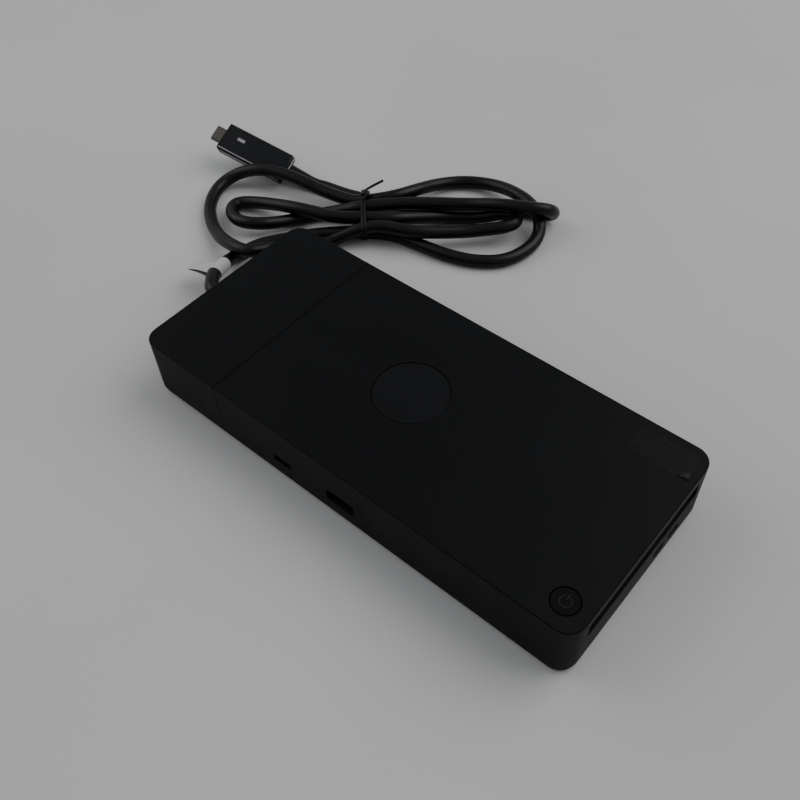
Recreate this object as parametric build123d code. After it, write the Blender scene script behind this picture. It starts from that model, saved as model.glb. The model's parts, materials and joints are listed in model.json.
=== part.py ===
"""Laptop docking station: a slim desktop box with a screwed-on cable module.

Frame: millimetres, +Z up, origin at the middle of the footprint on the desk.
+X is the long way, towards the end with the air grille and the lock slots.
-Y is the front, with two ports; +Y is the rear, with the other ports.
The host cable leaves the -X end, lies behind the dock in a tied bundle and ends in its plug.
"""
from build123d import *
import os
from math import radians, tan, pi

os.makedirs("parts", exist_ok=True)

# ---- Driving dimensions -------------------------------------------------------------
LENGTH = 205.0
WIDTH = 90.0
HEIGHT = 29.0
CORNER = 7.0
WALL = 2.0
EDGE = 0.4                    # small chamfer round the top
FOOT_DROP = 1.0               # the rubber pads stand this far below the casing
BASE_THICK = 2.0              # bottom covers
BASE_INSET = 0.6              # the bottom covers sit in by this much
SEAM_X = -60.5                # joint between the main casing and the cable module
SEAM_GAP = 0.3

BASE_Z = FOOT_DROP
WALL_Z = BASE_Z + BASE_THICK  # the side walls start here
ROOF_Z = HEIGHT - WALL        # underside of the top wall
END_X = LENGTH / 2
SIDE_Y = WIDTH / 2
INNER_X = END_X - WALL
INNER_Y = SIDE_Y - WALL

BOARD_Z = 7.0                 # underside of the circuit boards
BOARD_THICK = 1.6
DECK_Z = BOARD_Z + BOARD_THICK
SHELL_SHEET = 0.3             # pressed sheet of the port shells
PORT_RECESS = 0.5             # port mouths sit this far inside the wall's face
PORT_GAP = 0.2                # between a port shell and its cut-out

BUTTON_X, BUTTON_Y = 92.7, -34.8
BUTTON_R = 5.0
BUTTON_GAP = 0.3
BUTTON_TRAVEL = 0.5

FAN_X, FAN_Y = 64.0, -6.0
FAN_SHAFT_R = 1.0
FAN_RUNNING_GAP = 0.03
FAN_BLADES = 13

EMBLEM_R = 15.0
EMBLEM_Y = 0.7
EMBLEM_DEEP = 0.8

GRILLE_HALF = 35.0            # half the width of the air opening
GRILLE_LOW, GRILLE_HIGH = 16.5, 24.0
LOCK_YS = (12.0, 22.0)
LOCK_Z = 9.0
LOCK_W, LOCK_H = 7.0, 3.2

CORD_D = 6.2
EXIT_Y, EXIT_Z = 0.0, 14.5
BOOT_OUT = 6.5                # how far the strain relief stands out of the casing

# Kinds of port: opening width, opening height, corner radius, depth.
USB_A = (12.5, 5.1, 0.3, 13.5)
USB_C = (8.4, 2.6, 1.28, 9.0)
DISPLAY = (16.1, 4.8, 0.6, 15.0)
VIDEO = (14.0, 4.6, 0.8, 11.5)
FRONT_USB_C_X, FRONT_USB_C_Z = -26.0, 11.0
FRONT_USB_A_X, FRONT_USB_A_Z = 3.8, DECK_Z + 2.85
DISPLAY_XS = (81.5, 61.0)
VIDEO_X = 41.0
REAR_USB_C_X = 24.5
REAR_USB_A_XS = (8.5, -9.0)
NETWORK_X = -30.0
NETWORK_W, NETWORK_H, NETWORK_DEEP = 15.9, 13.4, 21.0
POWER_X = -49.0
POWER_SIDE, POWER_DEEP, POWER_BORE = 10.6, 14.0, 7.5

# Where the casing's screws, and their pillars, stand.
MAIN_PILLARS = ((-53.0, -36.5), (77.0, -37.5), (94.2, 38.0), (-55.5, 23.0))
MODULE_PILLARS = ((-92.0, -34.0), (-92.0, 34.0))
BOARD_SCREWS = ((-46.0, -22.0), (40.0, -36.0), (93.0, 18.0), (-27.0, 13.0))
PILLAR_R = 3.1
SCREW_R = 1.2
HOLE_R = 1.3

saved = []


def save(name, shape):
    """Write one node, named after its file."""
    export_step(shape, "parts/" + name + ".step")
    saved.append(name)


def block(low, high):
    """A box between two opposite corners."""
    size = [b - a for a, b in zip(low, high)]
    middle = [(a + b) / 2 for a, b in zip(low, high)]
    return Pos(*middle) * Box(*size)


def rod(x, y, z_low, z_high, radius):
    """An upright cylinder."""
    return Pos(x, y, (z_low + z_high) / 2) * Cylinder(radius, z_high - z_low)


def slab(inset, z_low, z_high):
    """The casing's plan, a rounded rectangle, pulled in by inset and stood up between two heights."""
    plan = RectangleRounded(LENGTH - 2 * inset, WIDTH - 2 * inset, CORNER - inset)
    return extrude(Pos(0, 0, z_low) * plan, amount=z_high - z_low)


def along_x(width, height, corner, x_low, x_high, y, z):
    """A rounded-rectangle prism lying along X, width along Y."""
    stand = Plane(origin=(x_low, y, z), x_dir=(0, 1, 0), z_dir=(1, 0, 0))
    face = stand * RectangleRounded(width, height, corner)
    return extrude(face, amount=x_high - x_low)


def along_y(width, height, corner, y_low, y_high, x, z):
    """A rounded-rectangle prism lying along Y, width along X."""
    stand = Plane(origin=(x, y_low, z), x_dir=(-1, 0, 0), z_dir=(0, 1, 0))
    face = stand * RectangleRounded(width, height, corner)
    return extrude(face, amount=y_high - y_low)


def group(shapes):
    """Several separate solids in one node."""
    return Compound(children=[s for shape in shapes for s in shape.solids()])


# ---- Ports ---------------------------------------------------------------------------
def port_span(side, depth):
    """Y range of a port of this depth; side is -1 at the front and +1 at the rear."""
    mouth = side * (SIDE_Y - PORT_RECESS)
    return sorted((mouth, mouth - side * depth))


def port_shell(kind, x, z, side):
    """A pressed shell, open at its mouth and closed at its back."""
    width, height, corner, depth = kind
    y_low, y_high = port_span(side, depth)
    sheet = SHELL_SHEET
    outside = along_y(width + 2 * sheet, height + 2 * sheet, corner + sheet, y_low, y_high, x, z)
    back = sheet * 2
    cut = (y_low - 1, y_high - back) if side < 0 else (y_low + back, y_high + 1)
    return outside - along_y(width, height, corner, cut[0], cut[1], x, z)


def port_tongue(kind, x, z, side, share, lift):
    """The contact tongue: a thin bar from the shell's back towards its mouth."""
    width, height, corner, depth = kind
    y_low, y_high = port_span(side, depth)
    back = SHELL_SHEET * 2
    bar_w, bar_h = width * share, height * 0.26
    length = depth * 0.72
    start = y_high - back if side < 0 else y_low + back
    ends = sorted((start, start + side * length))
    return block((x - bar_w / 2, ends[0], z + lift - bar_h / 2),
                 (x + bar_w / 2, ends[1], z + lift + bar_h / 2))


def port_cut(kind, x, z, side):
    """The opening in the casing's wall round a port shell."""
    width, height, corner, depth = kind
    grow = 2 * (SHELL_SHEET + PORT_GAP)
    ends = sorted((side * (SIDE_Y - 2 * WALL), side * (SIDE_Y + 1)))
    return along_y(width + grow, height + grow, corner + grow / 2, ends[0], ends[1], x, z)


DISPLAY_Z = DECK_Z + DISPLAY[1] / 2 + SHELL_SHEET
VIDEO_Z = DECK_Z + VIDEO[1] / 2 + SHELL_SHEET
REAR_C_Z = DECK_Z + USB_C[1] / 2 + SHELL_SHEET
REAR_A_Z = DECK_Z + USB_A[1] / 2 + SHELL_SHEET
NETWORK_Z = DECK_Z + NETWORK_H / 2
POWER_Z = DECK_Z + POWER_SIDE / 2

ports = [("front_usb_c", USB_C, [FRONT_USB_C_X], FRONT_USB_C_Z, -1, 0.8, 0.0)]
ports.append(("front_usb_a", USB_A, [FRONT_USB_A_X], FRONT_USB_A_Z, -1, 0.88, 1.0))
ports.append(("rear_display_port", DISPLAY, DISPLAY_XS, DISPLAY_Z, 1, 0.8, 0.0))
ports.append(("rear_video_port", VIDEO, [VIDEO_X], VIDEO_Z, 1, 0.8, 0.3))
ports.append(("rear_usb_c", USB_C, [REAR_USB_C_X], REAR_C_Z, 1, 0.8, 0.0))
ports.append(("rear_usb_a", USB_A, REAR_USB_A_XS, REAR_A_Z, 1, 0.88, 1.0))

wall_cuts = []
for name, kind, xs, z, side, share, lift in ports:
    shells = [port_shell(kind, x, z, side) for x in xs]
    tongues = [port_tongue(kind, x, z, side, share, lift) for x in xs]
    save(name + "_shell", group(shells))
    save(name + "_tongue", group(tongues))
    wall_cuts += [port_cut(kind, x, z, side) for x in xs]

# The network socket: a moulded box with a deep mouth, a narrower latch step and eight contacts.
network_mouth = SIDE_Y - PORT_RECESS
network_back = network_mouth - NETWORK_DEEP
network = block((NETWORK_X - NETWORK_W / 2, network_back, DECK_Z),
                (NETWORK_X + NETWORK_W / 2, network_mouth, DECK_Z + NETWORK_H))
MOUTH_W, MOUTH_LOW, MOUTH_HIGH, MOUTH_DEEP = 11.8, DECK_Z + 4.2, DECK_Z + 11.4, 15.0
network -= block((NETWORK_X - MOUTH_W / 2, network_mouth - MOUTH_DEEP, MOUTH_LOW),
                 (NETWORK_X + MOUTH_W / 2, network_mouth + 1, MOUTH_HIGH))
network -= block((NETWORK_X - 3.1, network_mouth - MOUTH_DEEP, DECK_Z + 1.4),
                 (NETWORK_X + 3.1, network_mouth + 1, MOUTH_LOW + 1))
save("network_socket_housing", network)

CONTACT_PITCH = 1.02
contacts = []
for i in range(8):
    x = NETWORK_X + (i - 3.5) * CONTACT_PITCH
    contacts.append(block((x - 0.2, network_mouth - MOUTH_DEEP, MOUTH_HIGH - 1.2),
                          (x + 0.2, network_mouth - 4.0, MOUTH_HIGH - 0.8)))
save("network_socket_contacts", group(contacts))

# The power inlet: a square moulding with a round bore and a centre pin.
power = block((POWER_X - POWER_SIDE / 2, network_mouth - POWER_DEEP, DECK_Z),
              (POWER_X + POWER_SIDE / 2, network_mouth, DECK_Z + POWER_SIDE))
bore_plane = Plane(origin=(POWER_X, network_mouth - POWER_DEEP + 2.5, POWER_Z), z_dir=(0, 1, 0))
power -= extrude(bore_plane * Circle(POWER_BORE / 2), amount=POWER_DEEP)
save("power_inlet_housing", power)
save("power_inlet_pin", extrude(bore_plane * Circle(0.5), amount=POWER_DEEP - 4.0))

wall_cuts.append(along_y(NETWORK_W + 2 * PORT_GAP, NETWORK_H + 2 * PORT_GAP, 0.5,
                         SIDE_Y - 2 * WALL, SIDE_Y + 1, NETWORK_X, NETWORK_Z))
wall_cuts.append(along_y(POWER_SIDE + 2 * PORT_GAP, POWER_SIDE + 2 * PORT_GAP, 0.2,
                         SIDE_Y - 2 * WALL, SIDE_Y + 1, POWER_X, POWER_Z))

# ---- Casing --------------------------------------------------------------------------
casing = slab(0, WALL_Z, HEIGHT)
casing = chamfer(casing.faces().sort_by(Axis.Z)[-1].edges(), EDGE)
casing -= slab(WALL, WALL_Z - 1, ROOF_Z)
main_half = block((SEAM_X + SEAM_GAP / 2, -WIDTH, -1), (LENGTH, WIDTH, HEIGHT + 1))
module_half = block((-LENGTH, -WIDTH, -1), (SEAM_X - SEAM_GAP / 2, WIDTH, HEIGHT + 1))

main_top = casing & main_half
for x, y in MAIN_PILLARS:
    main_top += rod(x, y, WALL_Z, ROOF_Z, PILLAR_R)
    main_top -= rod(x, y, WALL_Z - 1, WALL_Z + 9.0, HOLE_R)
for cut in wall_cuts:
    main_top -= cut
main_top -= rod(BUTTON_X, BUTTON_Y, ROOF_Z - 1, HEIGHT + 1, BUTTON_R + BUTTON_GAP)
main_top -= rod(0, EMBLEM_Y, HEIGHT - EMBLEM_DEEP, HEIGHT + 1, EMBLEM_R + 0.15)
main_top -= along_x(2 * GRILLE_HALF, GRILLE_HIGH - GRILLE_LOW, 1.0, INNER_X - 1, END_X + 1,
                    0, (GRILLE_LOW + GRILLE_HIGH) / 2)
for y in LOCK_YS:
    main_top -= along_x(LOCK_W, LOCK_H, 1.0, INNER_X - 1, END_X + 1, y, LOCK_Z)
save("main_top_cover", main_top)

module_top = casing & module_half
inner_wall_x = SEAM_X - SEAM_GAP / 2
module_top += block((inner_wall_x - 1.6, -INNER_Y, WALL_Z), (inner_wall_x, INNER_Y, ROOF_Z))
module_top -= block((inner_wall_x - 3, -17, WALL_Z - 1), (inner_wall_x + 1, 17, WALL_Z + 12))
for x, y in MODULE_PILLARS:
    module_top += rod(x, y, WALL_Z, ROOF_Z, PILLAR_R)
    module_top -= rod(x, y, WALL_Z - 1, WALL_Z + 9.0, HOLE_R)
exit_plane = Plane(origin=(-END_X - 1, EXIT_Y, EXIT_Z), z_dir=(1, 0, 0))
module_top -= extrude(exit_plane * Circle(5.6), amount=WALL + 2)
save("module_top_cover", module_top)

PAD_L, PAD_W, PAD_SINK = 26.0, 7.0, 0.6
PAD_ALL = ((-76.0, -34.0), (-76.0, 34.0), (60.0, -34.0), (60.0, 34.0))
base = slab(BASE_INSET, BASE_Z, WALL_Z)
pads = []
for x, y in PAD_ALL:
    outline = Pos(x, y, 0) * RectangleRounded(PAD_L, PAD_W, PAD_W / 2 - 0.01)
    pads.append(extrude(outline, amount=BASE_Z + PAD_SINK))
    base -= extrude(Pos(0, 0, BASE_Z - 1) * outline, amount=1 + PAD_SINK)
save("rubber_feet", group(pads))


def screw_hole(x, y):
    """A countersunk hole in a bottom cover."""
    return rod(x, y, BASE_Z - 1, WALL_Z + 1, HOLE_R + 0.1) + rod(x, y, BASE_Z - 1, BASE_Z + 0.9, 2.9)


for x, y in MAIN_PILLARS + MODULE_PILLARS:
    base -= screw_hole(x, y)
main_bottom = base & main_half
for x, y in BOARD_SCREWS:
    main_bottom += rod(x, y, WALL_Z, BOARD_Z, 3.0)
    main_bottom -= rod(x, y, BASE_Z + 1.0, BOARD_Z + 1, HOLE_R)
BUTTON_POSTS = ((88.5, -31.0), (95.5, -31.0))
SWITCH_BOARD_Z = 18.3
for x, y in BUTTON_POSTS:
    main_bottom += rod(x, y, WALL_Z, SWITCH_BOARD_Z, 1.5)
VENT_SLOT = 2.0
for i in range(7):
    y = FAN_Y + (i - 3) * 5.0
    main_bottom -= Pos(FAN_X, y, BASE_Z + 1) * extrude(SlotOverall(26, VENT_SLOT), amount=4, both=True)
save("main_bottom_cover", main_bottom)

module_bottom = base & module_half
MODULE_POSTS = ((-70.0, -30.0), (-70.0, 30.0))
for x, y in MODULE_POSTS:
    module_bottom += rod(x, y, WALL_Z, BOARD_Z, 2.5)
save("module_bottom_cover", module_bottom)


def screw(x, y, z_head, head_r, head_h, length, up):
    """A pan-head screw: up is +1 when its shank points up from the head."""
    head = rod(x, y, *sorted((z_head, z_head - up * head_h)), head_r)
    shank = rod(x, y, *sorted((z_head, z_head + up * length)), SCREW_R)
    recess = rod(x, y, *sorted((z_head - up * head_h - up, z_head - up * head_h * 0.45)), head_r * 0.35)
    return head + shank - recess


screw_seat = BASE_Z + 0.9
save("main_cover_screws", group([screw(x, y, screw_seat, 2.6, 0.8, 9.0, 1) for x, y in MAIN_PILLARS]))
save("module_cover_screws", group([screw(x, y, screw_seat, 2.6, 0.8, 9.0, 1) for x, y in MODULE_PILLARS]))
save("board_screws", group([screw(x, y, DECK_Z, 2.6, 1.3, 4.5, -1) for x, y in BOARD_SCREWS]))

# The air grille: a tray behind the end opening, with upright bars.
tray_mid = (GRILLE_LOW + GRILLE_HIGH) / 2
tray_h = GRILLE_HIGH - GRILLE_LOW
TRAY_X = 98.6
grille = along_x(2 * GRILLE_HALF + 2.4, tray_h + 2.0, 1.5, TRAY_X, INNER_X, 0, tray_mid)
grille -= along_x(2 * GRILLE_HALF, tray_h, 1.0, TRAY_X + 1.2, INNER_X + 1, 0, tray_mid)
BAR_PITCH = 2.5
bar_count = int(2 * GRILLE_HALF / BAR_PITCH) - 1
gaps = []
for i in range(bar_count):
    y = (i - (bar_count - 1) / 2) * BAR_PITCH
    gaps.append(block((TRAY_X - 1, y - 0.7, GRILLE_LOW + 0.6), (TRAY_X + 2, y + 0.7, GRILLE_HIGH - 0.6)))
grille -= gaps
save("end_grille", grille)

bracket = block((INNER_X - 1.2, 5, 4.5), (INNER_X, 29, 14.0))
bracket += block((INNER_X - 4.5, 5, 4.5), (INNER_X - 1.2, 29, 5.5))
for y in LOCK_YS:
    bracket -= along_x(LOCK_W, LOCK_H, 1.0, INNER_X - 2, INNER_X + 1, y, LOCK_Z)
save("lock_slot_bracket", bracket)

emblem = rod(0, EMBLEM_Y, HEIGHT - EMBLEM_DEEP, HEIGHT, EMBLEM_R)
emblem = chamfer(emblem.faces().sort_by(Axis.Z)[-1].edges(), 0.3)
save("top_emblem_disc", emblem)

FILM_LOW, FILM_HIGH, FILM_THICK = (75.5, 29.0), (100.0, 41.0), 0.15
film_plan = Pos((FILM_LOW[0] + FILM_HIGH[0]) / 2, (FILM_LOW[1] + FILM_HIGH[1]) / 2, HEIGHT)
film = extrude(film_plan * RectangleRounded(FILM_HIGH[0] - FILM_LOW[0], FILM_HIGH[1] - FILM_LOW[1], 1.5),
               amount=FILM_THICK)
save("top_film_label", film)

# ---- Power button ----------------------------------------------------------------------
FLANGE_TOP = ROOF_Z - BUTTON_GAP
CAP_FLOOR = 26.0
STEM_LOW = 23.7
ICON_DEEP = 0.5
cap = rod(BUTTON_X, BUTTON_Y, CAP_FLOOR, HEIGHT, BUTTON_R)
cap = chamfer(cap.faces().sort_by(Axis.Z)[-1].edges(), 0.3)
cap += rod(BUTTON_X, BUTTON_Y, CAP_FLOOR - 0.3, FLANGE_TOP, BUTTON_R + 1.2)
cap += rod(BUTTON_X, BUTTON_Y, STEM_LOW, CAP_FLOOR, 2.0)
ring_plan = Circle(2.3) - Circle(1.8)
ring_plan -= Pos(0, 2.0, 0) * Rectangle(1.6, 2.4)
icon_plan = ring_plan + Pos(0, 1.9, 0) * Rectangle(0.55, 2.3)
icon = extrude(Pos(BUTTON_X, BUTTON_Y, HEIGHT - ICON_DEEP) * icon_plan, amount=ICON_DEEP)
cap -= icon
save("power_button", cap)
save("power_button_icon", group([icon]))

SWITCH_BOARD_THICK = 1.2
SWITCH_BASE = SWITCH_BOARD_Z + SWITCH_BOARD_THICK
SWITCH_TOP = SWITCH_BASE + 3.5
PLUNGER_R = 1.5
PLUNGER_TOP = STEM_LOW - 0.2
switch_board = block((86.5, -40.0, SWITCH_BOARD_Z), (97.2, -29.0, SWITCH_BASE))
save("switch_board", switch_board)
switch = block((BUTTON_X - 3, BUTTON_Y - 3, SWITCH_BASE), (BUTTON_X + 3, BUTTON_Y + 3, SWITCH_TOP))
switch -= rod(BUTTON_X, BUTTON_Y, SWITCH_TOP - 2.0, SWITCH_TOP + 1, PLUNGER_R + 0.1)
save("switch_body", switch)
save("switch_plunger", rod(BUTTON_X, BUTTON_Y, SWITCH_TOP - 1.3, PLUNGER_TOP, PLUNGER_R))

# ---- Boards and what stands on them ------------------------------------------------------
board = block((-57.5, -42.0, BOARD_Z), (96.5, 42.5, DECK_Z))
board -= block((83.0, -43.0, BOARD_Z - 1), (97.0, -27.5, DECK_Z + 1))
board -= block((90.4, 34.0, BOARD_Z - 1), (97.0, 43.0, DECK_Z + 1))
board -= block((-58.0, 18.5, BOARD_Z - 1), (-51.8, 27.5, DECK_Z + 1))
board -= block((-58.0, -43.0, BOARD_Z - 1), (-48.5, -32.0, DECK_Z + 1))
board -= block((72.5, -43.0, BOARD_Z - 1), (81.5, -33.0, DECK_Z + 1))
for x, y in BOARD_SCREWS:
    board -= rod(x, y, BOARD_Z - 1, DECK_Z + 1, HOLE_R)
save("main_board", board)

module_board = block((-97.0, -30.0, BOARD_Z), (-63.0, 40.0, DECK_Z))
for x, y in MODULE_PILLARS:
    module_board -= rod(x, y, BOARD_Z - 1, DECK_Z + 1, PILLAR_R + 0.6)
module_board += block((-75.0, -34.0, BOARD_Z), (-63.0, -30.0, DECK_Z))
save("module_board", module_board)

socket_x = -59.0
link_plug = block((-66.5, -14, DECK_Z), (socket_x, 14, DECK_Z + 4.0))
link_socket = block((socket_x, -15, DECK_Z), (-51.5, 15, DECK_Z + 4.6))
save("module_link_plug", link_plug)
save("module_link_socket", link_socket)

main_chip = block((-8.0, -16.0, DECK_Z), (12.0, 4.0, DECK_Z + 1.4))
save("hub_chip", main_chip)
pad_top = DECK_Z + 1.4 + 0.8
save("thermal_pad", block((-7.0, -15.0, DECK_Z + 1.4), (11.0, 3.0, pad_top)))

# The heat spreader: a plate on legs with upright fins along the air's way to the fan.
plate = block((-20.0, -24.0, pad_top), (36.0, 12.0, pad_top + 2.0))
for x, y in ((-18, -22), (34, -22), (-18, 10), (34, 10)):
    plate += rod(x, y, DECK_Z, pad_top, 1.5)
FIN_PITCH = 4.0
for i in range(9):
    y = -22.0 + i * FIN_PITCH
    plate += block((-20.0, y - 0.5, pad_top + 2.0), (36.0, y + 0.5, 22.0))
save("heat_spreader", plate)

small_chips = []
for x, y, w, h in ((24, 22, 8, 8), (-16, 20, 7, 7), (66, 22, 9, 6), (-38, -4, 9, 9)):
    small_chips.append(block((x - w / 2, y - h / 2, DECK_Z), (x + w / 2, y + h / 2, DECK_Z + 1.0)))
small_chips.append(block((-86.0, -8.0, DECK_Z), (-76.0, 2.0, DECK_Z + 1.1)))
save("small_chips", group(small_chips))

coils = []
for x, y in ((-46, 6), (-38, 12), (-44, -36), (-30, -30), (20, -36)):
    coils.append(block((x - 3, y - 3, DECK_Z), (x + 3, y + 3, DECK_Z + 3.0)))
save("power_inductors", group(coils))

cans = []
for x, y in ((-46, 16), (-38, -14), (-48, -12), (30, -30), (-84, 22), (-84, -20)):
    can = rod(x, y, DECK_Z, DECK_Z + 7.5, 3.1)
    cans.append(chamfer(can.faces().sort_by(Axis.Z)[-1].edges(), 0.5))
save("capacitors", group(cans))

# ---- Blower fan ----------------------------------------------------------------------------
HOUSE_LOW, HOUSE_HIGH, HOUSE_FLOOR = 12.4, 25.2, 1.2
CAVITY_R = 20.6
house = block((FAN_X - 22.5, FAN_Y - 22.5, HOUSE_LOW), (FAN_X + 25.0, FAN_Y + 22.5, HOUSE_HIGH))
house -= rod(FAN_X, FAN_Y, HOUSE_LOW + HOUSE_FLOOR, HOUSE_HIGH + 1, CAVITY_R)
house -= block((FAN_X, FAN_Y - 12.0, HOUSE_LOW + HOUSE_FLOOR),
               (FAN_X + 27.0, FAN_Y + CAVITY_R, HOUSE_HIGH + 1))
BOSS_R, BEARING_R = 4.0, 2.5
house += rod(FAN_X, FAN_Y, HOUSE_LOW + HOUSE_FLOOR, 19.5, BOSS_R)
house -= rod(FAN_X, FAN_Y, HOUSE_LOW + HOUSE_FLOOR, 20.5, BEARING_R)
for x, y in ((-20, -20), (-20, 20), (22, -18), (22, 20)):
    house += rod(FAN_X + x, FAN_Y + y, DECK_Z, HOUSE_LOW, 2.0)
save("fan_housing", house)

fan_lid = block((FAN_X - 22.5, FAN_Y - 22.5, HOUSE_HIGH), (FAN_X + 25.0, FAN_Y + 22.5, HOUSE_HIGH + 0.8))
fan_lid -= rod(FAN_X, FAN_Y, HOUSE_HIGH - 1, HOUSE_HIGH + 2, 10.0)
save("fan_lid", fan_lid)

bearing_low = HOUSE_LOW + HOUSE_FLOOR
sleeve = rod(FAN_X, FAN_Y, bearing_low, 19.5, BEARING_R)
sleeve -= rod(FAN_X, FAN_Y, bearing_low + 0.5, 20.5, FAN_SHAFT_R + FAN_RUNNING_GAP)
save("fan_bearing", sleeve)

stator = rod(FAN_X, FAN_Y, 14.2, 18.8, BOSS_R + 0.9) - rod(FAN_X, FAN_Y, 14, 19, BOSS_R)
for i in range(6):
    pole = block((BOSS_R + 0.7, -1.2, 14.4), (BOSS_R + 3.0, 1.2, 18.6))
    stator += Pos(FAN_X, FAN_Y, 0) * Rot(0, 0, i * 60) * pole
save("fan_stator", stator)

HUB_R, HUB_TOP, HUB_LOW = 9.0, 24.2, 14.8
impeller = rod(FAN_X, FAN_Y, HUB_LOW, HUB_TOP, HUB_R) - rod(FAN_X, FAN_Y, HUB_LOW - 1, 21.2, HUB_R - 1.2)
impeller -= rod(FAN_X, FAN_Y, 20.0, HUB_TOP - 0.8, FAN_SHAFT_R)
BLADE_TIP = 19.4
for i in range(FAN_BLADES):
    turn = 360.0 / FAN_BLADES * i
    blade = block((HUB_R - 0.5, -0.45, HUB_LOW + 0.2), (BLADE_TIP - 1.6, 0.45, HUB_TOP - 0.4))
    bent = Rot(0, 0, turn) * Pos(0, 2.0, 0) * Rot(0, 0, -12) * blade
    impeller += Pos(FAN_X, FAN_Y, 0) * bent
save("fan_impeller", impeller)
save("fan_shaft", rod(FAN_X, FAN_Y, bearing_low + 0.8, HUB_TOP - 0.8, FAN_SHAFT_R))

# ---- Host cable -------------------------------------------------------------------------------
boot_plane = Plane(origin=(-END_X, EXIT_Y, EXIT_Z), z_dir=(-1, 0, 0))
boot = extrude(boot_plane * Circle(5.5), amount=-WALL)
collar = Cylinder(7.5, 3.0, align=(Align.CENTER, Align.CENTER, Align.MIN))
boot += Pos(-INNER_X, EXIT_Y, EXIT_Z) * Rot(0, 90, 0) * collar
boot += Pos(-END_X - BOOT_OUT / 2, EXIT_Y, EXIT_Z) * Rot(0, -90, 0) * Cone(5.5, 3.9, BOOT_OUT)
save("cable_exit_boot", boot)


def corner_radii(route):
    """The radius of each arc of a cable: as large as its two runs allow."""
    radii = []
    for before, here, after in zip(route, route[1:], route[2:]):
        run_in = Vector(*here) - Vector(*before)
        run_out = Vector(*after) - Vector(*here)
        turn = radians(run_in.get_angle(run_out))
        radii.append(0.45 * min(run_in.length, run_out.length) / tan(turn / 2))
    return radii


def cable_tube(name, route):
    """A round cable along straight runs joined by tangent arcs."""
    radii = corner_radii(route)
    path = FilletPolyline(*route, radius=radii)
    section = Plane(origin=route[0], z_dir=Vector(*route[1]) - Vector(*route[0])) * Circle(CORD_D / 2)
    tube = sweep(section, path=path, transition=Transition.RIGHT)
    expected = pi * (CORD_D / 2) ** 2 * path.length
    print(name, "length", round(path.length, 1), "radii", [round(r, 1) for r in radii],
          "volume ratio", round(tube.volume / expected, 4))
    save(name, tube)
    return tube


# From the strain relief the cable turns to the rear, comes down to the desk and goes under the bundle.
LEAD_ROUTE = [(-109.0, 0.0, 14.5), (-115.5, 0.0, 14.5), (-123.0, 8.5, 13.0), (-128.5, 19.5, 8.8),
              (-132.5, 30.0, 4.0), (-131.5, 42.0, 3.3)]
# From the bundle's waist the cable drops to the plug's own strain relief.
PLUG_AT = (-195.4, 83.1, 14.0)      # middle of the plug body's front end
PLUG_YAW, PLUG_PITCH, PLUG_ROLL = 10.5, 11.3, 25.6
PLUG_L, PLUG_W, PLUG_T = 38.0, 15.0, 7.0
PLUG_BOOT_L = 14.0
plug_place = Pos(*PLUG_AT) * Rot(0, 0, PLUG_YAW) * Rot(0, PLUG_PITCH, 0) * Rot(PLUG_ROLL, 0, 0)

plug = plug_place * Pos(PLUG_L / 2, 0, 0) * Box(PLUG_L, PLUG_W, PLUG_T)
plug = fillet(plug.edges().filter_by(lambda e: abs(e.length - PLUG_L) < 0.01), 1.2)
WINDOW = (10.0, 4.4, 1.6, 0.4)      # centre along the body, length, width, depth
window = plug_place * Pos(WINDOW[0], 1.6, PLUG_T / 2 - WINDOW[3] / 2) * Box(WINDOW[1], WINDOW[2], WINDOW[3])
plug -= window
save("plug_body", plug)
save("plug_light_window", window)
plug_boot_cone = Cone(3.3, 3.9, PLUG_BOOT_L).mirror(Plane.XY)
plug_boot = plug_place * Pos(PLUG_L + PLUG_BOOT_L / 2, 0, 0) * Rot(0, 90, 0) * plug_boot_cone
save("plug_boot", plug_boot)
SHELL_L, SHELL_W, SHELL_T = 6.6, 8.3, 2.5
mouth_plane = Plane.YZ
tip = extrude(mouth_plane * RectangleRounded(SHELL_W, SHELL_T, SHELL_T / 2 - 0.01), amount=-SHELL_L)
mouth = mouth_plane * RectangleRounded(SHELL_W - 0.6, SHELL_T - 0.6, SHELL_T / 2 - 0.32)
tip -= Pos(-1.5, 0, 0) * extrude(mouth, amount=-SHELL_L)
save("plug_shell", plug_place * tip)

tail_start = (plug_place * Pos(PLUG_L + PLUG_BOOT_L, 0, 0)).position
TAIL_ROUTE = [tuple(tail_start), (-137.0, 93.2, 3.6), (-129.0, 92.6, 4.6), (-120.0, 93.0, 6.4)]

# The bundle: two fans of loops either side of the tie, one closed solid of their outer shape.
WAIST = Vector(-103.5, 87.5, 0)
WAIST_TURN = 42.5                   # direction of the bundle's strands at the tie
LEFT_FAN = [(-106.0, 98.0), (-180.0, 91.0), (-189.0, 54.0), (-160.0, 28.0), (-121.0, 28.0), (-112.0, 58.0),
            (-90.0, 76.0)]
RIGHT_FAN = [(-96.0, 73.0), (-76.0, 86.0), (-24.0, 86.0), (-22.0, 154.0), (-84.0, 154.0), (-104.0, 118.0),
             (-116.0, 96.0)]
FAN_CORNER = 9.0
FAN_HIGH, CORE_HIGH = 11.0, 16.0
TIE_THICK, TIE_WIDE = 0.8, 2.6
TIE_U = (-17.5, 12.0)               # reach of the tie across the strands
TIE_HIGH = 13.6


def fan(points):
    """One fan of loops: a rounded outline stood up to the loops' height."""
    outline = make_face(Polyline(*points, close=True))
    outline = fillet(outline.vertices(), FAN_CORNER)
    return extrude(outline, amount=FAN_HIGH, dir=(0, 0, 1))


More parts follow.
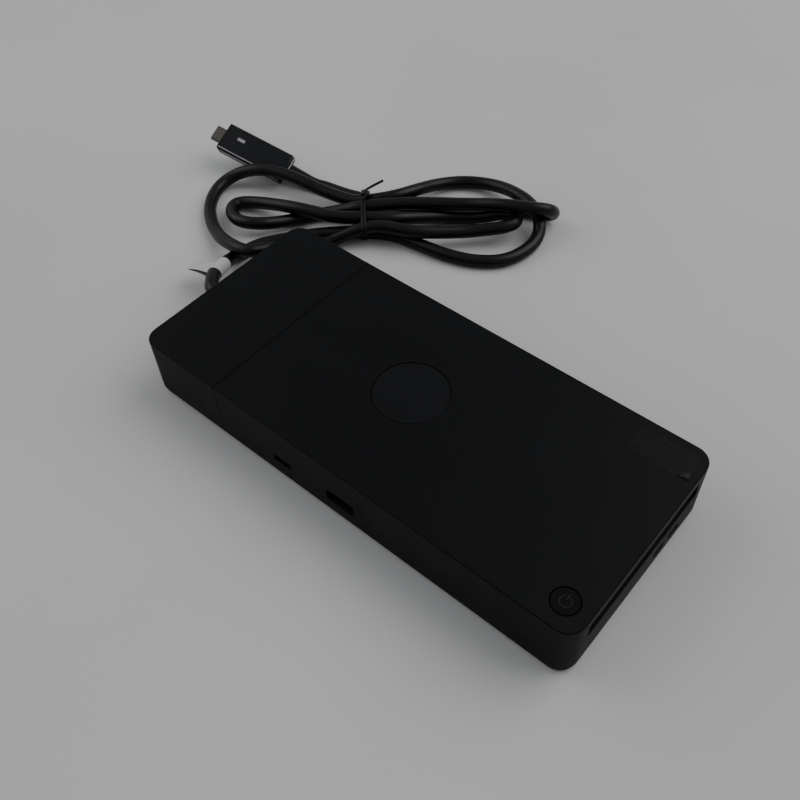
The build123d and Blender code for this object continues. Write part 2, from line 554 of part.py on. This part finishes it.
bundle = fan(LEFT_FAN) + fan(RIGHT_FAN)
core_place = Pos(WAIST.X, WAIST.Y, 0) * Rot(0, 0, WAIST_TURN)
bundle += core_place * block((-14.0, -11.0, 0), (14.0, 15.5, 12.8))
bundle += Pos(-66.0, 120.0, 0) * Rot(0, 0, 35.5) * block((-40.0, -7.0, 0), (42.0, 7.0, CORE_HIGH))
plug_room = plug_place * Pos(PLUG_L / 2 - 2, 0, 0) * Box(PLUG_L + 4.6, PLUG_W + 0.6, 60)
bundle -= plug_room
bundle -= plug_place * Pos(PLUG_L + PLUG_BOOT_L / 2, 0, 0) * Box(PLUG_BOOT_L + 0.6, 8.4, 60)

tie_mid = (TIE_U[0] + TIE_U[1]) / 2
tie_plan = Plane.YZ * Pos(-tie_mid, TIE_HIGH / 2) * Rectangle(TIE_U[1] - TIE_U[0], TIE_HIGH)
tie_outer = extrude(tie_plan, amount=TIE_WIDE / 2, both=True)
hole_plan = Plane.YZ * Pos(-tie_mid, TIE_HIGH / 2) * Rectangle(TIE_U[1] - TIE_U[0] - 2 * TIE_THICK,
                                                              TIE_HIGH - 2 * TIE_THICK)
tie = tie_outer - extrude(hole_plan, amount=TIE_WIDE, both=True)
knot_y = -TIE_U[0] - 1.5
tie += block((-2.2, knot_y - 2.5, TIE_HIGH), (2.2, knot_y + 1.5, TIE_HIGH + 2.4))
tie = core_place * tie
bundle -= tie
save("twist_tie", tie)
save("cable_hank", bundle)
lead = cable_tube("cable_lead", LEAD_ROUTE)
tail = cable_tube("cable_tail", TAIL_ROUTE)

# A blank paper flag folded round the cable beside the casing.
flag_a, flag_b = Vector(*LEAD_ROUTE[2]), Vector(*LEAD_ROUTE[3])
flag_plane = Plane(origin=(flag_a + flag_b) / 2, x_dir=flag_b - flag_a, z_dir=(-0.36, 0.17, 0.915))
FLAG_L, FLAG_W, FLAG_T = 13.0, 11.0, 0.5
flag = Box(FLAG_L, FLAG_W, FLAG_T, align=(Align.CENTER, Align.MIN, Align.CENTER))
save("cable_label", flag_plane.location * Pos(0, CORD_D / 2 - 0.3, 0) * flag)
print(len(saved), "nodes")
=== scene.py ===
import json
import math

import bmesh
import bpy
from mathutils import Matrix, Vector


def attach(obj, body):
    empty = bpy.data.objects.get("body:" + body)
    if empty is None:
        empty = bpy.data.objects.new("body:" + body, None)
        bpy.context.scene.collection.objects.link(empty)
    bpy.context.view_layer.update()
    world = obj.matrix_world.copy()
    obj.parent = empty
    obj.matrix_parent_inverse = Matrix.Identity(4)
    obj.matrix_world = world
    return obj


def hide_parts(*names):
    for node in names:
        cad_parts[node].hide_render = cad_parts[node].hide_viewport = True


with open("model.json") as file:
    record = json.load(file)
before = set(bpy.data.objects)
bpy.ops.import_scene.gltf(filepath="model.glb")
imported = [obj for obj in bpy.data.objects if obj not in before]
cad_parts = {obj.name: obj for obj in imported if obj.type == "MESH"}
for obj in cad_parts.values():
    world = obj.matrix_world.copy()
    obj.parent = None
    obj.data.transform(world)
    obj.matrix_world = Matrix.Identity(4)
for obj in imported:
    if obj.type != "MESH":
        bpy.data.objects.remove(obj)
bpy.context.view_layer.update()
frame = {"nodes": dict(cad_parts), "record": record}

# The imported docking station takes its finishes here, and its cable, twist tie, label and films are
# made as pieces of their own. Pieces are laid out in millimetres, and the scene is in metres.
MM = 0.001
scene = bpy.context.scene


# ---------------------------------------------------------------- camera

CAMERA_AZIMUTH = math.radians(42.52)
CAMERA_ELEVATION = math.radians(50.24)
CAMERA_ROLL = math.radians(-2.91)
CAMERA_AT = Vector((0.1470, -0.1660, 0.2919))
CAMERA_LENS = 41.27
CAMERA_SENSOR = 36


def make_camera():
    """A camera at its place, looking down at the station and rolled a little."""
    sin_a, cos_a = math.sin(CAMERA_AZIMUTH), math.cos(CAMERA_AZIMUTH)
    sin_e, cos_e = math.sin(CAMERA_ELEVATION), math.cos(CAMERA_ELEVATION)
    back = Vector((sin_a * cos_e, -cos_a * cos_e, sin_e))
    right = Vector((cos_a, sin_a, 0))
    up = back.cross(right)
    cos_r, sin_r = math.cos(CAMERA_ROLL), math.sin(CAMERA_ROLL)
    across = right * cos_r + up * sin_r
    upward = up * cos_r - right * sin_r
    data = bpy.data.cameras.new("camera")
    data.lens = CAMERA_LENS
    data.sensor_width = CAMERA_SENSOR
    camera = bpy.data.objects.new("camera", data)
    turn = Matrix((across, upward, back)).transposed().to_4x4()
    camera.matrix_world = Matrix.Translation(CAMERA_AT) @ turn
    scene.collection.objects.link(camera)
    scene.camera = camera


make_camera()


# ---------------------------------------------------------------- materials

def nodes_of(name):
    """A new material with its node tree and its shader."""
    material = bpy.data.materials.new(name)
    material.use_nodes = True
    tree = material.node_tree
    shader = tree.nodes["Principled BSDF"]
    return material, tree, shader


def noise(tree, scale, detail=3.0, stretch=(1, 1, 1), kind="ShaderNodeTexNoise"):
    """A noise over the object's own coordinates, with scale in features per metre."""
    place = tree.nodes.new("ShaderNodeTexCoord")
    squeeze = tree.nodes.new("ShaderNodeMapping")
    squeeze.inputs["Scale"].default_value = stretch
    texture = tree.nodes.new(kind)
    texture.inputs["Scale"].default_value = scale
    if kind == "ShaderNodeTexNoise":
        texture.inputs["Detail"].default_value = detail
    tree.links.new(place.outputs["Object"], squeeze.inputs["Vector"])
    tree.links.new(squeeze.outputs["Vector"], texture.inputs["Vector"])
    return texture.outputs["Fac" if kind == "ShaderNodeTexNoise" else "Distance"]


def ramp(tree, source, stops):
    """A colour ramp over a value, with stops of (position, colour)."""
    node = tree.nodes.new("ShaderNodeValToRGB")
    while len(node.color_ramp.elements) < len(stops):
        node.color_ramp.elements.new(0.5)
    for element, (position, colour) in zip(node.color_ramp.elements, stops):
        element.position = position
        element.color = (*colour, 1)
    tree.links.new(source, node.inputs["Fac"])
    return node.outputs["Color"]


def spread(tree, source, low, high):
    """Maps a noise onto the range from low to high."""
    node = tree.nodes.new("ShaderNodeMapRange")
    node.inputs["From Min"].default_value = 0.3
    node.inputs["From Max"].default_value = 0.7
    node.inputs["To Min"].default_value = low
    node.inputs["To Max"].default_value = high
    tree.links.new(source, node.inputs["Value"])
    return node.outputs["Result"]


def bump(tree, shader, layers):
    """Layers of (height output, strength, depth in metres), one on top of another."""
    before = None
    for height, strength, depth in layers:
        node = tree.nodes.new("ShaderNodeBump")
        node.inputs["Strength"].default_value = strength
        node.inputs["Distance"].default_value = depth
        tree.links.new(height, node.inputs["Height"])
        if before is not None:
            tree.links.new(before, node.inputs["Normal"])
        before = node.outputs["Normal"]
    tree.links.new(before, shader.inputs["Normal"])


def tone(colour, factor):
    """The colour made lighter or darker by a factor."""
    return tuple(min(1.0, c * factor) for c in colour)


def plastic(name, colour, rough, grain=1800, mottle=0.18, level=0.5):
    """Moulded plastic: spark-eroded grain, faint cloudy tone, and hand polish in the gloss."""
    material, tree, shader = nodes_of(name)
    cloud = noise(tree, 38, 4)
    fine = noise(tree, grain, 2)
    base = ramp(tree, cloud, [(0.3, tone(colour, 1 - mottle)), (0.7, tone(colour, 1 + mottle))])
    tree.links.new(base, shader.inputs["Base Color"])
    polish = noise(tree, 60, 5)
    tree.links.new(spread(tree, polish, rough - 0.03, rough + 0.04), shader.inputs["Roughness"])
    shader.inputs["Specular IOR Level"].default_value = level
    bump(tree, shader, [(fine, 0.35, 0.00004)])
    return material


def metal(name, colour, rough, stretch=(1, 1, 1)):
    """Plated or drawn metal: fine draw lines and a slightly uneven gloss."""
    material, tree, shader = nodes_of(name)
    lines = noise(tree, 900, 4, stretch)
    stain = noise(tree, 120, 3)
    base = ramp(tree, stain, [(0.3, tone(colour, 0.86)), (0.7, tone(colour, 1.06))])
    tree.links.new(base, shader.inputs["Base Color"])
    tree.links.new(spread(tree, lines, rough - 0.06, rough + 0.1), shader.inputs["Roughness"])
    shader.inputs["Metallic"].default_value = 1.0
    bump(tree, shader, [(lines, 0.3, 0.00001)])
    return material


def rubber(name, colour, rough, level=0.5):
    """Extruded or moulded rubber: fine pores, slow waves and dusty patches."""
    material, tree, shader = nodes_of(name)
    dust = noise(tree, 55, 5)
    base = ramp(tree, dust, [(0.35, tone(colour, 0.8)), (0.6, colour), (0.75, tone(colour, 1.5))])
    tree.links.new(base, shader.inputs["Base Color"])
    tree.links.new(spread(tree, noise(tree, 90, 4), rough - 0.07, rough + 0.09),
                   shader.inputs["Roughness"])
    shader.inputs["Specular IOR Level"].default_value = level
    bump(tree, shader, [(noise(tree, 2600, 2), 0.3, 0.00002), (noise(tree, 260, 2), 0.4, 0.00005)])
    return material


def clear_film(name, tint, rough, alpha, level=0.45):
    """Thin clear film: mostly see-through, with a smeared gloss and faint creases."""
    material, tree, shader = nodes_of(name)
    smear = noise(tree, 160, 4)
    base = ramp(tree, smear, [(0.3, tone(tint, 0.9)), (0.7, tone(tint, 1.1))])
    tree.links.new(base, shader.inputs["Base Color"])
    tree.links.new(spread(tree, smear, rough - 0.04, rough + 0.12), shader.inputs["Roughness"])
    shader.inputs["Alpha"].default_value = alpha
    shader.inputs["Specular IOR Level"].default_value = level
    bump(tree, shader, [(noise(tree, 420, 2), 0.35, 0.00006)])
    return material


def paper(name, colour):
    """Uncoated label stock: fibre mottle and a slight cockle."""
    material, tree, shader = nodes_of(name)
    fibre = noise(tree, 1500, 5, (1, 0.3, 1))
    base = ramp(tree, fibre, [(0.3, tone(colour, 0.9)), (0.7, tone(colour, 1.04))])
    tree.links.new(base, shader.inputs["Base Color"])
    tree.links.new(spread(tree, fibre, 0.6, 0.8), shader.inputs["Roughness"])
    bump(tree, shader, [(fibre, 0.4, 0.00004), (noise(tree, 240, 2), 0.3, 0.0001)])
    return material


def circuit(name, colour):
    """Solder mask over copper: cells of lighter tracks under a green gloss."""
    material, tree, shader = nodes_of(name)
    cells = noise(tree, 420, kind="ShaderNodeTexVoronoi")
    base = ramp(tree, cells, [(0.0, tone(colour, 1.9)), (0.25, tone(colour, 1.1)), (0.6, colour)])
    tree.links.new(base, shader.inputs["Base Color"])
    tree.links.new(spread(tree, noise(tree, 200, 3), 0.3, 0.45), shader.inputs["Roughness"])
    bump(tree, shader, [(cells, 0.3, 0.00003)])
    return material


BLACK = (0.0032, 0.0034, 0.0038)
MATERIALS = {
    "casing_plastic": plastic("casing_plastic", BLACK, 0.48, mottle=0.1, level=0.085),
    "base_plastic": plastic("base_plastic", (0.013, 0.013, 0.0135), 0.6, grain=1200, level=0.3),
    "grille_plastic": plastic("grille_plastic", (0.018, 0.018, 0.0195), 0.42, level=0.5),
    "emblem_plastic": plastic("emblem_plastic", (0.0046, 0.0048, 0.0054), 0.42, grain=2600, level=0.095),
    "button_plastic": plastic("button_plastic", BLACK, 0.46, level=0.055),
    "icon_grey": plastic("icon_grey", (0.0085, 0.009, 0.01), 0.4, level=0.1),
    "icon_white": plastic("icon_white", (0.36, 0.36, 0.37), 0.3, level=0.4),
    "switch_plastic": plastic("switch_plastic", (0.05, 0.05, 0.05), 0.5),
    "port_plastic": plastic("port_plastic", (0.008, 0.008, 0.009), 0.5, level=0.2),
    "socket_plastic": plastic("socket_plastic", (0.02, 0.02, 0.021), 0.45),
    "chip_black": plastic("chip_black", (0.02, 0.02, 0.02), 0.55, grain=3000),
    "coil_grey": plastic("coil_grey", (0.12, 0.12, 0.12), 0.6, grain=1500),
    "fan_plastic": plastic("fan_plastic", (0.02, 0.02, 0.02), 0.4),
    "pad_grey": rubber("pad_grey", (0.3, 0.32, 0.35), 0.7),
    "rubber": rubber("rubber", (0.015, 0.015, 0.015), 0.75),
    "cable_rubber": rubber("cable_rubber", (0.0027, 0.0028, 0.0032), 0.34, level=0.22),
    "tie_black": rubber("tie_black", (0.004, 0.004, 0.0045), 0.45, level=0.2),
    "plug_plastic": plastic("plug_plastic", (0.006, 0.0064, 0.007), 0.4, level=0.12),
    "film_clear": clear_film("film_clear", (0.05, 0.052, 0.058), 0.2, 0.035),
    # Light grey and nearly opaque: a painted highlight for the folds of the film round the plug.
    "film_fold_highlight": clear_film("film_fold_highlight", (0.36, 0.36, 0.38), 0.25, 0.8),
    "film_edge": clear_film("film_edge", (0.02, 0.02, 0.022), 0.3, 0.8, level=0.15),
    "steel": metal("steel", (0.55, 0.55, 0.56), 0.35),
    # The port shells' steel is much darker than plain steel: painted shade inside the ports.
    "port_steel": metal("port_steel", (0.12, 0.12, 0.12), 0.3, (1, 1, 8)),
    "plug_metal": metal("plug_metal", (0.11, 0.102, 0.088), 0.3, (8, 1, 1)),
    "spreader_aluminium": metal("spreader_aluminium", (0.7, 0.7, 0.71), 0.4, (1, 12, 1)),
    "can_aluminium": metal("can_aluminium", (0.7, 0.7, 0.71), 0.3, (1, 1, 10)),
    "contact_gold": metal("contact_gold", (0.83, 0.6, 0.25), 0.28),
    "fan_copper": metal("fan_copper", (0.7, 0.33, 0.16), 0.35, (1, 1, 14)),
    # The label's paper is a mid grey: white stock darkened as painted shade for the shade the label lies
    # in, and partly for the grey of its print.
    "paper": paper("paper", (0.4, 0.4, 0.396)),
    "board_green": circuit("board_green", (0.012, 0.07, 0.035)),
}

for part in frame["record"]["subparts"]:
    node = frame["nodes"][part["node"]]
    node.data.materials.clear()
    node.data.materials.append(MATERIALS[part["material_slot"]])


# ---------------------------------------------------------------- helpers

def finish_piece(piece, slot, look=None):
    """A piece on the dock takes its slot's finish, or another look of the same stuff."""
    piece.data.materials.append(MATERIALS[look or slot])
    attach(piece, "dock_body")


def curve_piece(name, routes, thick, closed=()):
    """One curve object of smooth NURBS lines, each drawn along its own route, in millimetres."""
    data = bpy.data.curves.new(name, "CURVE")
    data.dimensions = "3D"
    data.bevel_depth = thick / 2 * MM
    data.bevel_resolution = 8
    data.resolution_u = 10
    data.use_fill_caps = True
    for index, route in enumerate(routes):
        line = data.splines.new("NURBS")
        line.points.add(len(route) - 1)
        for point, (x, y, z) in zip(line.points, route):
            point.co = (x * MM, y * MM, z * MM, 1)
        line.order_u = 3
        if index in closed:
            line.use_cyclic_u = True
        else:
            line.use_endpoint_u = True
    piece = bpy.data.objects.new(name, data)
    scene.collection.objects.link(piece)
    return piece


def mesh_piece(name, points, faces):
    """A smooth mesh from points in millimetres."""
    work = bmesh.new()
    verts = [work.verts.new(Vector(p) * MM) for p in points]
    for face in faces:
        work.faces.new([verts[i] for i in face])
    bmesh.ops.recalc_face_normals(work, faces=work.faces)
    data = bpy.data.meshes.new(name)
    work.to_mesh(data)
    work.free()
    for polygon in data.polygons:
        polygon.use_smooth = True
    piece = bpy.data.objects.new(name, data)
    scene.collection.objects.link(piece)
    return piece


def lofted(name, rings, close_ring=False):
    """A skin through rings of equally many points, in millimetres."""
    across = len(rings[0])
    points = [p for ring in rings for p in ring]
    faces = []
    last = across if close_ring else across - 1
    for i in range(len(rings) - 1):
        for j in range(last):
            k = (j + 1) % across
            faces.append((i * across + j, i * across + k, (i + 1) * across + k, (i + 1) * across + j))
    return mesh_piece(name, points, faces)


def thicken(piece, thickness, smoothed=False):
    """A skin gets a real thickness, in millimetres, and a level of smoothing where asked."""
    solid = piece.modifiers.new("thickness", "SOLIDIFY")
    solid.thickness = thickness * MM
    solid.offset = 0
    if smoothed:
        smooth = piece.modifiers.new("smooth", "SUBSURF")
        smooth.levels = 1
        smooth.render_levels = 1


# ---------------------------------------------------------------- host cable

CORD = 6.2
# Out of the strain relief, round to the rear, down to the floor and under the left loop.
LEAD = [(-109, 0, 14.5), (-114.5, 0, 14.6), (-119, 4, 14.2), (-123.5, 9, 12.9), (-128.5, 19.5, 9),
        (-133, 27.5, 4.2), (-133, 33, 3.3), (-132, 39, 3.1), (-130, 44.5, 3.1), (-126, 50.5, 3.1),
        (-117, 62.5, 3.1)]
# Under the tie, and round the outer loop on the right, whose far end climbs over the others.
OUTER_RIGHT = [(-106, 74, 3.1), (-96, 82, 3.1), (-85.5, 88, 3.1), (-77.5, 89.5, 3.1),
               (-68, 90.5, 3.1), (-55, 92.5, 3.1), (-42.5, 97, 3.1), (-32, 105.5, 3.1),
               (-28, 117.5, 3.1), (-28.5, 128, 3.6), (-31.5, 134, 7.6), (-39, 139, 10.4),
               (-51, 143.5, 9.4), (-67, 147.5, 5), (-82.5, 142.5, 3.3), (-92, 131, 4),
               (-94, 115.5, 8.6), (-97, 105.5, 9.9), (-104, 98.5, 8.6), (-112.5, 93, 6.6)]
# Round the outer loop on the left, over the end of the plug and over the lead.
OUTER_LEFT = [(-120.5, 90.5, 6.6), (-131.5, 88, 7.4), (-140.5, 86, 9.2), (-149.5, 84, 10.6),
              (-159.5, 81, 11), (-168, 76.5, 10.6), (-178, 72, 5.6), (-180.5, 62, 3.1),
              (-174, 50, 3.1), (-164, 41, 3.1), (-151, 34.5, 4.2), (-135.5, 29.5, 9.8),
              (-123.5, 29, 12.2), (-120, 35.5, 10.8), (-112.5, 53, 6.4), (-106, 63, 3.4)]
# Through the tie to the short fold on the right, and back over the top of the tie.
FOLD_RIGHT = [(-103, 68, 4.6), (-95.5, 77.5, 8.8), (-87.5, 84.5, 9.7), (-75, 88.5, 9.7),
              (-65, 98, 8.2), (-55.5, 108, 7), (-50, 113, 7.6), (-42.5, 118.5, 9.2),
              (-39, 125, 9.7), (-43, 129.5, 9.8), (-49.5, 127, 8.8), (-56, 124, 5.6),
              (-64.5, 120.5, 3.1), (-75.5, 111, 4), (-83, 99, 7.5), (-88, 91, 9.4),
              (-99.5, 83, 9.7)]
# Round the small loop on the left.
INNER_LEFT = [(-109, 75, 9.8), (-120.5, 71, 10.2), (-132.5, 67, 9.9), (-151, 64.5, 5),
              (-162.5, 59, 3.4), (-160.5, 51.5, 4.4), (-149, 45.5, 6.6), (-138, 50, 7.4),
              (-132.5, 61, 4.4), (-128, 71, 3.1), (-123, 78, 3.1), (-114.5, 84, 5.8)]
# Over the tie to the long fold on the right, down and back along the floor.
FOLD_TOP = [(-105.5, 88, 9.8), (-95, 99.5, 9.8), (-83.5, 109, 9.8), (-65.5, 120.5, 10.6),
            (-49.5, 125.5, 15.2), (-37, 130, 16.4), (-29.5, 135.5, 15.6), (-29.5, 142.5, 9.6),
            (-33, 145.5, 4.2), (-38, 144.5, 3.1), (-46, 141.5, 3.1), (-59, 135.5, 3.1),
            (-77, 122.5, 3.1), (-91.5, 112.5, 3.1), (-103.5, 105.5, 3.1), (-115, 99.5, 3.1)]
# To the plug's boot.
TAIL = [(-126, 96.5, 3.1), (-136.5, 95, 3.1), (-141.5, 93, 3.2), (-151, 91.5, 5)]
ROUTE = LEAD + OUTER_RIGHT + OUTER_LEFT + FOLD_RIGHT + INNER_LEFT + FOLD_TOP + TAIL

cable = curve_piece("host_cable", [ROUTE], CORD)
finish_piece(cable, "cable_rubber")
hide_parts("cable_lead", "cable_hank", "cable_tail")


# ---------------------------------------------------------------- twist tie

TIE_AT = Vector((-101.5, 85.2, 0))
TIE_ALONG = Vector((0.737, 0.676, 0))
TIE_ACROSS = Vector((0.676, -0.737, 0))
TIE_WIRE = 1.25


def at_tie(along, across, height):
    """A point from the tie's own directions: along the bundle, across it and above the floor."""
    return TIE_AT + TIE_ALONG * along + TIE_ACROSS * across + Vector((0, 0, height))


# A turn of the wire round the bundle, as places across it and above the floor.
TIE_RING = [(9.8, 0.8), (10.2, 4.4), (13.4, 6.6), (13.2, 10.6), (9.4, 12.4), (3.2, 13.5), (-5.4, 13.1),
            (-12.8, 11.1), (-17.4, 8.6), (-22.8, 6.2), (-23.6, 2.2), (-20.4, 0.7), (-6, 0.7)]
# Two turns of the wire, which drift towards each other as they go round.
turns = [[at_tie(-0.5 + 0.05 * i, across, up) for i, (across, up) in enumerate(TIE_RING)],
         [at_tie(1.3 - 0.06 * i, across, up) for i, (across, up) in enumerate(TIE_RING)]]
knot = [at_tie(-0.6, -5.5, 13.3), at_tie(1.2, -7.4, 14.0), at_tie(2.8, -9.2, 13.9),
        at_tie(2.2, -11.4, 13.2), at_tie(0.2, -12.6, 12.4), at_tie(-0.8, -10.4, 13.1),
        at_tie(1.0, -8.4, 14.6), at_tie(3.2, -9.8, 14.4), at_tie(3.2, -12.2, 12.9),
        at_tie(1.2, -13.6, 11.9), at_tie(-0.2, -12.0, 12.0)]
wire_end = [at_tie(0.4, -10.4, 13.2), at_tie(1.2, -13.0, 12.9), at_tie(3.2, -15.4, 12.7),
            at_tie(6.4, -17.2, 13.2), at_tie(10.6, -18.6, 14.4)]
tie = curve_piece("twist_tie_wire", turns + [knot, wire_end], TIE_WIRE, closed=(0, 1))
finish_piece(tie, "tie_black")
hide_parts("twist_tie")


# ---------------------------------------------------------------- cable label

LABEL_RADIUS = 3.3
LABEL_PAPER = 0.14
# Where the wrap starts and how far it goes round the cable, in degrees.
WRAP_START = -220
WRAP_TURN = 305
WRAP_STEPS = 18
# The flag's two leaves bow up on the way out and end this far apart.
FLAG_STEPS = 5
LOWER_BOW = 0.6
UPPER_BOW = 0.7
LEAF_GAP = 0.15
FLAG_NEAR = Vector((-137, 4.2, 11.5))
FLAG_FAR = Vector((-141, 11, 8))


def on_lead(span, share):
    """A point and its direction on the cable's quadratic curve, in a span of the lead."""
    before, here, after = (Vector(LEAD[span + i]) for i in (-1, 0, 1))
    back = (1 - share) ** 2 / 2
    ahead = share ** 2 / 2
    point = before * back + here * (1 - back - ahead) + after * ahead
    return point, ((here - before) * (1 - share) + (after - here) * share).normalized()


def label_ring(span, share, corner):
    """One line across the label: in along the flag, round the cable and out again."""
    centre, along = on_lead(span, share)
    left = Vector((0, 0, 1)).cross(along).normalized()
    up = along.cross(left).normalized()
    arc = []
    for step in range(WRAP_STEPS + 1):
        turn = math.radians(WRAP_START + WRAP_TURN * step / WRAP_STEPS)
        arc.append(centre + (up * math.cos(turn) + left * math.sin(turn)) * LABEL_RADIUS)
    parts = [step / FLAG_STEPS for step in range(1, FLAG_STEPS + 1)]
    flag = [(part, up * math.sin(math.pi * part)) for part in parts]
    below = corner - up * LEAF_GAP
    inward = [arc[0].lerp(below, part) + rise * LOWER_BOW for part, rise in reversed(flag)]
    outward = [arc[-1].lerp(corner, part) + rise * UPPER_BOW for part, rise in flag]
    return inward + arc + outward


# Stations along the label: a span of the lead and a share of it.
LABEL_STATIONS = [(3, 0.4), (3, 0.7), (4, 0.0), (4, 0.25), (4, 0.5)]
label = lofted("cable_label_wrap", [
    label_ring(span, share, FLAG_NEAR.lerp(FLAG_FAR, index / (len(LABEL_STATIONS) - 1)))
    for index, (span, share) in enumerate(LABEL_STATIONS)])
thicken(label, LABEL_PAPER, smoothed=True)
finish_piece(label, "paper")
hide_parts("cable_label")


# ---------------------------------------------------------------- film round the plug

FILM = 0.1
# Width of the painted highlight lines along the film's folds.
FOLD_HIGHLIGHT_WIDTH = 0.5
PLUG_AT = Vector((-195.4, 83.1, 14.0))
PLUG_TURN = (Matrix.Rotation(math.radians(10.5), 3, "Z") @ Matrix.Rotation(math.radians(11.3), 3, "Y")
             @ Matrix.Rotation(math.radians(25.6), 3, "X"))


def at_plug(x, y, z):
    """A point from the plug's own axes, with x from its front face back to the cord."""
    return PLUG_AT + PLUG_TURN @ Vector((x, y, z))


def sleeve_ring(x, half_width, half_height, corner):
    """A rounded rectangle round the plug, with five points on each of its corners."""
    ring = []
    for quarter, (sy, sz) in enumerate(((1, 1), (-1, 1), (-1, -1), (1, -1))):
        for step in range(5):
            turn = math.radians(90 * quarter + 90 * step / 4)
            y = sy * (half_width - corner) + corner * math.cos(turn)
            z = sz * (half_height - corner) + corner * math.sin(turn)
            ring.append(at_plug(x, y, z))
    return ring


film = lofted("plug_film", [
    sleeve_ring(0.4, 7.75, 3.75, 1.1),
    sleeve_ring(10, 7.8, 3.8, 1.2),
    sleeve_ring(24, 7.78, 3.78, 1.1),
    sleeve_ring(37, 7.8, 3.8, 1.2),
    sleeve_ring(40.3, 7.7, 3.6, 1.3),
], close_ring=True)
thicken(film, FILM)
finish_piece(film, "film_clear")

# Painted highlights on the film, drawn as light grey lines along its folds: along the near edge of its
# top, along its near side and at its rear end.
fold_highlights = curve_piece("plug_film_fold_highlights", [
    [at_plug(1.0, -6.8, 4.0), at_plug(14, -6.9, 4.05), at_plug(28, -6.8, 4.0), at_plug(40, -6.8, 3.9)],
    [at_plug(1.0, -8.0, 1.8), at_plug(14, -8.05, 1.9), at_plug(28, -8.0, 1.8), at_plug(38, -8.0, 1.8)],
    [at_plug(40.2, 7.0, 3.7), at_plug(40.5, 2, 3.8), at_plug(40.4, -2, 3.8), at_plug(40.2, -6, 3.7)],
], FOLD_HIGHLIGHT_WIDTH)
finish_piece(fold_highlights, "film_clear", "film_fold_highlight")


# ---------------------------------------------------------------- lifted corner of the top film

corner = mesh_piece("film_label_corner", [
    (95.4, 29.4, 29.3), (99.6, 29.6, 29.3), (99.2, 33.4, 29.35), (97.2, 31.4, 29.7)],
    [(0, 1, 3), (1, 2, 3), (2, 0, 3)])
thicken(corner, FILM)
finish_piece(corner, "film_clear", "film_edge")


# ---------------------------------------------------------------- floor and light

FLOOR_REACH = 3.0
SKY_COLOUR = (0.93, 0.96, 1.0, 1)
SKY_STRENGTH = 0.42
# Round lamps that face the frame's origin: name, place, width and power.
LAMPS = [("key", (0.55, 0.85, 1.15), 1.5, 14.5), ("fill", (-1.0, -0.35, 0.8), 1.2, 5.5)]


def make_floor():
    """A wide sheet of pale paper under everything."""
    material, tree, shader = nodes_of("floor_paper")
    cloud = noise(tree, 3.2, 4)
    base = ramp(tree, cloud, [(0.3, (0.44, 0.435, 0.43)), (0.7, (0.5, 0.498, 0.495))])
    tree.links.new(base, shader.inputs["Base Color"])
    shader.inputs["Roughness"].default_value = 0.7
    shader.inputs["Specular IOR Level"].default_value = 0.2
    bump(tree, shader, [(noise(tree, 400, 3), 0.15, 0.0001)])
    work = bmesh.new()
    bmesh.ops.create_grid(work, x_segments=8, y_segments=8, size=FLOOR_REACH)
    data = bpy.data.meshes.new("floor")
    work.to_mesh(data)
    work.free()
    data.materials.append(material)
    floor = bpy.data.objects.new("floor", data)
    scene.collection.objects.link(floor)


def make_sky():
    """An even, slightly cool light from all round."""
    world = bpy.data.worlds.new("studio")
    world.use_nodes = True
    background = world.node_tree.nodes["Background"]
    background.inputs["Color"].default_value = SKY_COLOUR
    background.inputs["Strength"].default_value = SKY_STRENGTH
    scene.world = world


def make_lamp(name, place, size, energy):
    data = bpy.data.lights.new(name, "AREA")
    data.shape = "DISK"
    data.size = size
    data.energy = energy
    lamp = bpy.data.objects.new(name, data)
    lamp.location = place
    lamp.rotation_euler = (-Vector(place)).to_track_quat("-Z", "Y").to_euler()
    scene.collection.objects.link(lamp)


make_floor()
make_sky()
for lamp in LAMPS:
    make_lamp(*lamp)
